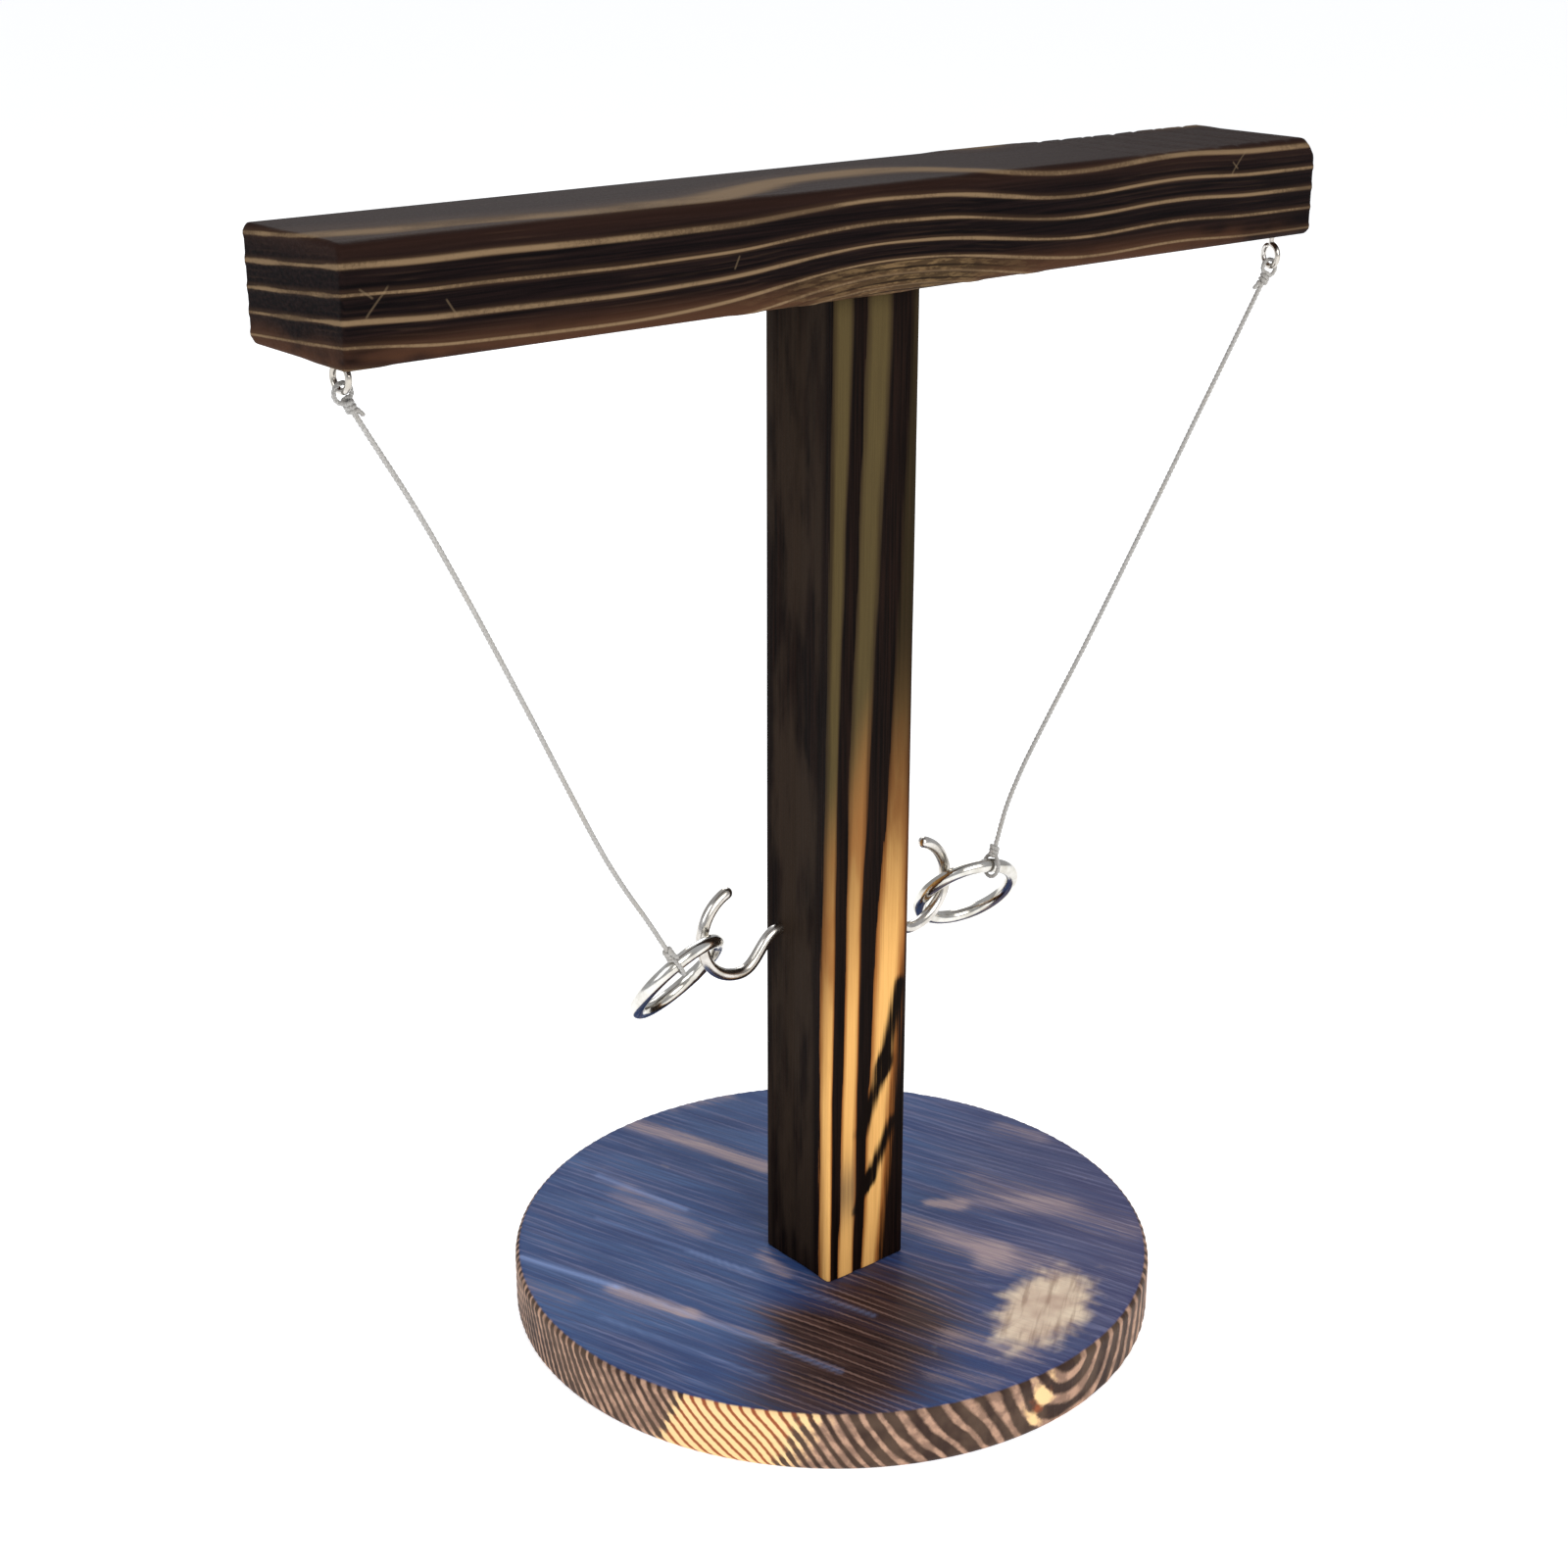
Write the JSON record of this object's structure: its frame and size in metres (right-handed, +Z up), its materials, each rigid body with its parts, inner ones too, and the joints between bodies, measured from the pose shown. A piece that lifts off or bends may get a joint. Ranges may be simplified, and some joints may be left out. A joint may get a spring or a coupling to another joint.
{
  "type": "hook-and-ring battle game",
  "caption": "Tabletop ring toss game: a wooden post on a round base carries a crossbar, and a ring on a string from each end of it is caught on a hook in the post's side.",
  "frame": {"origin": "on the floor under the middle of the outer box, which is under the post's middle along the crossbar and under the base's middle across it", "axes": "+Z up the post, +X along the crossbar to the right, -Y towards the front"},
  "size_m": [0.25, 0.15, 0.262],
  "materials": {
    "stained_base": "charred pine, blue-grey stain, gloss lacquer",
    "charred_post": "charred pine with honey grain bands, satin lacquer",
    "charred_beam": "charred pine, near black with thin tan grain lines, satin lacquer",
    "dowel_wood": "plain beech",
    "zinc_screw": "zinc plate",
    "hook_wire": "nickel-plated bent wire",
    "ring_nickel": "bright nickel plate",
    "string_cotton": "pale twisted cord"
  },
  "bodies": {
    "stand": {"base_disc": "stained_base", "post": "charred_post", "crossbar": "charred_beam", "front_base_screw": "zinc_screw", "rear_base_screw": "zinc_screw", "left_dowel": "dowel_wood", "right_dowel": "dowel_wood", "left_hook": "hook_wire", "right_hook": "hook_wire", "left_screw_eye": "hook_wire", "right_screw_eye": "hook_wire", "left_top_knot": "string_cotton", "right_top_knot": "string_cotton", "left_string": "string_cotton", "right_string": "string_cotton"},
    "left_tether": {"left_ring_knot": "string_cotton"},
    "left_ring": {"left_ring": "ring_nickel"},
    "right_tether": {"right_ring_knot": "string_cotton"},
    "right_ring": {"right_ring": "ring_nickel"}
  },
  "joints": [
    {"name": "left_unhook", "type": "hinge", "parent": "stand", "child": "left_tether", "pos_m": [-0.023, 0, 0.1001], "axis": [0, 1, 0], "range_deg": [0, 101], "deforming": ["left_string"]},
    {"name": "left_ring_spin", "type": "hinge", "parent": "left_tether", "child": "left_ring", "pos_m": [-0.0402, 0, 0.09384], "axis": [-0.2198, 0.766, 0.604], "continuous": true},
    {"name": "right_unhook", "type": "hinge", "parent": "stand", "child": "right_tether", "pos_m": [0.023, -0.005, 0.1001], "axis": [0, -1, 0], "range_deg": [0, 101], "deforming": ["right_string"]},
    {"name": "right_ring_spin", "type": "hinge", "parent": "right_tether", "child": "right_ring", "pos_m": [0.0402, -0.005, 0.09384], "axis": [0.2198, 0.766, 0.604], "continuous": true}
  ]
}
